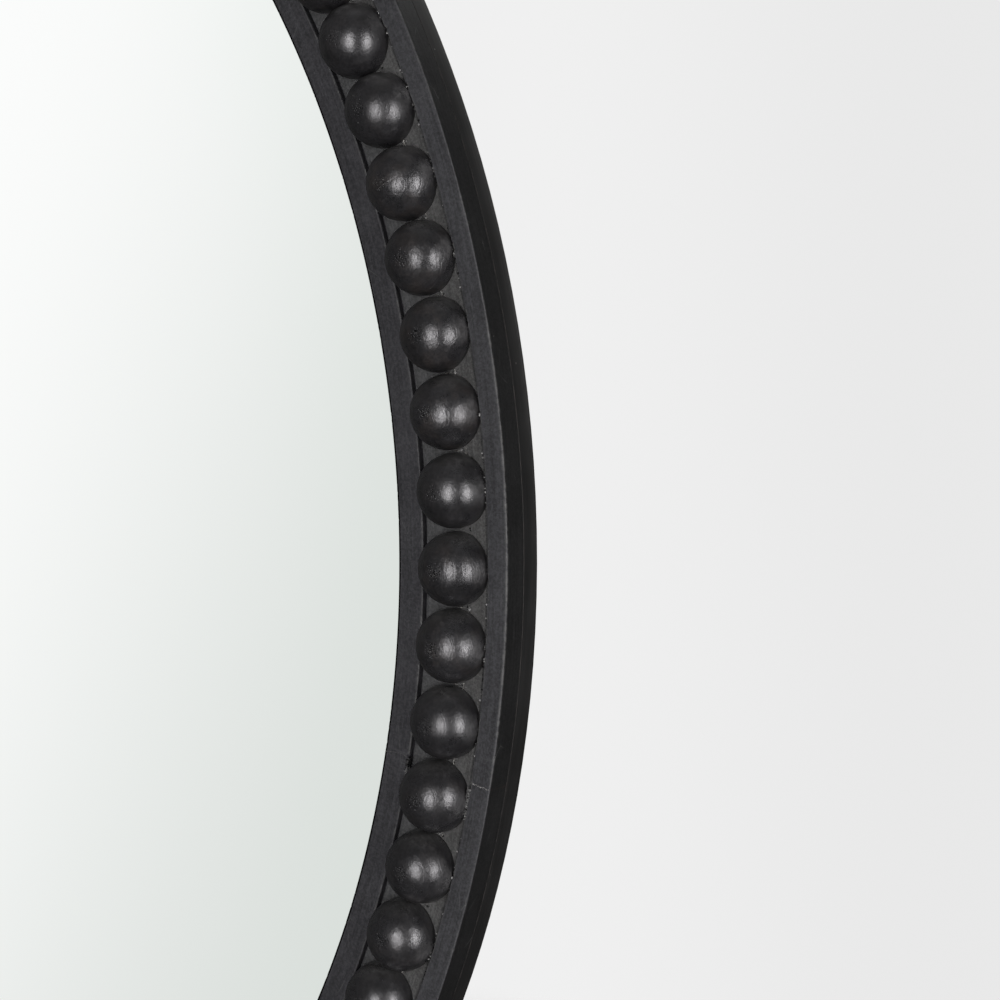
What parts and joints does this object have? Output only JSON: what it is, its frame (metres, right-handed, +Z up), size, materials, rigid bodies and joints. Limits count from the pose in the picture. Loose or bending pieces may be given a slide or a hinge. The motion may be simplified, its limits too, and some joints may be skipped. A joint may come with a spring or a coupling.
{
  "type": "beaded wall mirror",
  "caption": "Round wall mirror in a black painted wooden frame, whose shallow groove holds a closed row of half-round wooden beads; D-ring hangers behind.",
  "frame": {"origin": "centre of the mirror, on the plane of the wall behind it", "axes": "-Y is where the mirror faces, +Y points into the wall, +Z is up, +X is to the right as seen from the front"},
  "size_m": [0.914, 0.0391, 0.914],
  "materials": {
    "front_layer_paint": "matt black paint on wood, worn at the arrises",
    "back_layer_paint": "thin matt black paint on wood",
    "bead_paint": "satin black paint on turned wood",
    "silvered_glass": "polished",
    "packing_board": "corrugated cardboard",
    "backing_board": "bare hardboard",
    "screw_steel": "zinc plated",
    "hanger_steel": "zinc plated",
    "bumper_rubber": "soft matt rubber"
  },
  "bodies": {
    "mirror": {"front_segment_1": "front_layer_paint", "front_segment_2": "front_layer_paint", "front_segment_3": "front_layer_paint", "front_segment_4": "front_layer_paint", "front_segment_5": "front_layer_paint", "front_segment_6": "front_layer_paint", "back_segment_1": "back_layer_paint", "back_segment_2": "back_layer_paint", "back_segment_3": "back_layer_paint", "back_segment_4": "back_layer_paint", "back_segment_5": "back_layer_paint", "back_segment_6": "back_layer_paint", "beads_01": "bead_paint", "beads_02": "bead_paint", "beads_03": "bead_paint", "beads_04": "bead_paint", "beads_05": "bead_paint", "beads_06": "bead_paint", "beads_07": "bead_paint", "beads_08": "bead_paint", "beads_09": "bead_paint", "beads_10": "bead_paint", "beads_11": "bead_paint", "beads_12": "bead_paint", "beads_13": "bead_paint", "beads_14": "bead_paint", "beads_15": "bead_paint", "beads_16": "bead_paint", "beads_17": "bead_paint", "beads_18": "bead_paint", "beads_19": "bead_paint", "beads_20": "bead_paint", "beads_21": "bead_paint", "beads_22": "bead_paint", "beads_23": "bead_paint", "mirror_glass": "silvered_glass", "packing_sheet": "packing_board", "backing_board": "backing_board", "board_screws": "screw_steel", "hanger_strap_right": "hanger_steel", "hanger_screws_right": "screw_steel", "hanger_strap_left": "hanger_steel", "hanger_screws_left": "screw_steel", "bumper_top_right": "bumper_rubber", "bumper_top_left": "bumper_rubber", "bumper_bottom_left": "bumper_rubber", "bumper_bottom_right": "bumper_rubber"},
    "ring_right": {"hanger_ring_right": "hanger_steel"},
    "ring_left": {"hanger_ring_left": "hanger_steel"}
  },
  "joints": [
    {"name": "right_ring_swing", "type": "hinge", "parent": "mirror", "child": "ring_right", "pos_m": [0.42675, -0.00265, 0.11435], "axis": [1, 0, 0], "range_deg": [0, 180]},
    {"name": "left_ring_swing", "type": "hinge", "parent": "mirror", "child": "ring_left", "pos_m": [-0.42675, -0.00265, 0.11435], "axis": [1, 0, 0], "range_deg": [0, 180]}
  ]
}
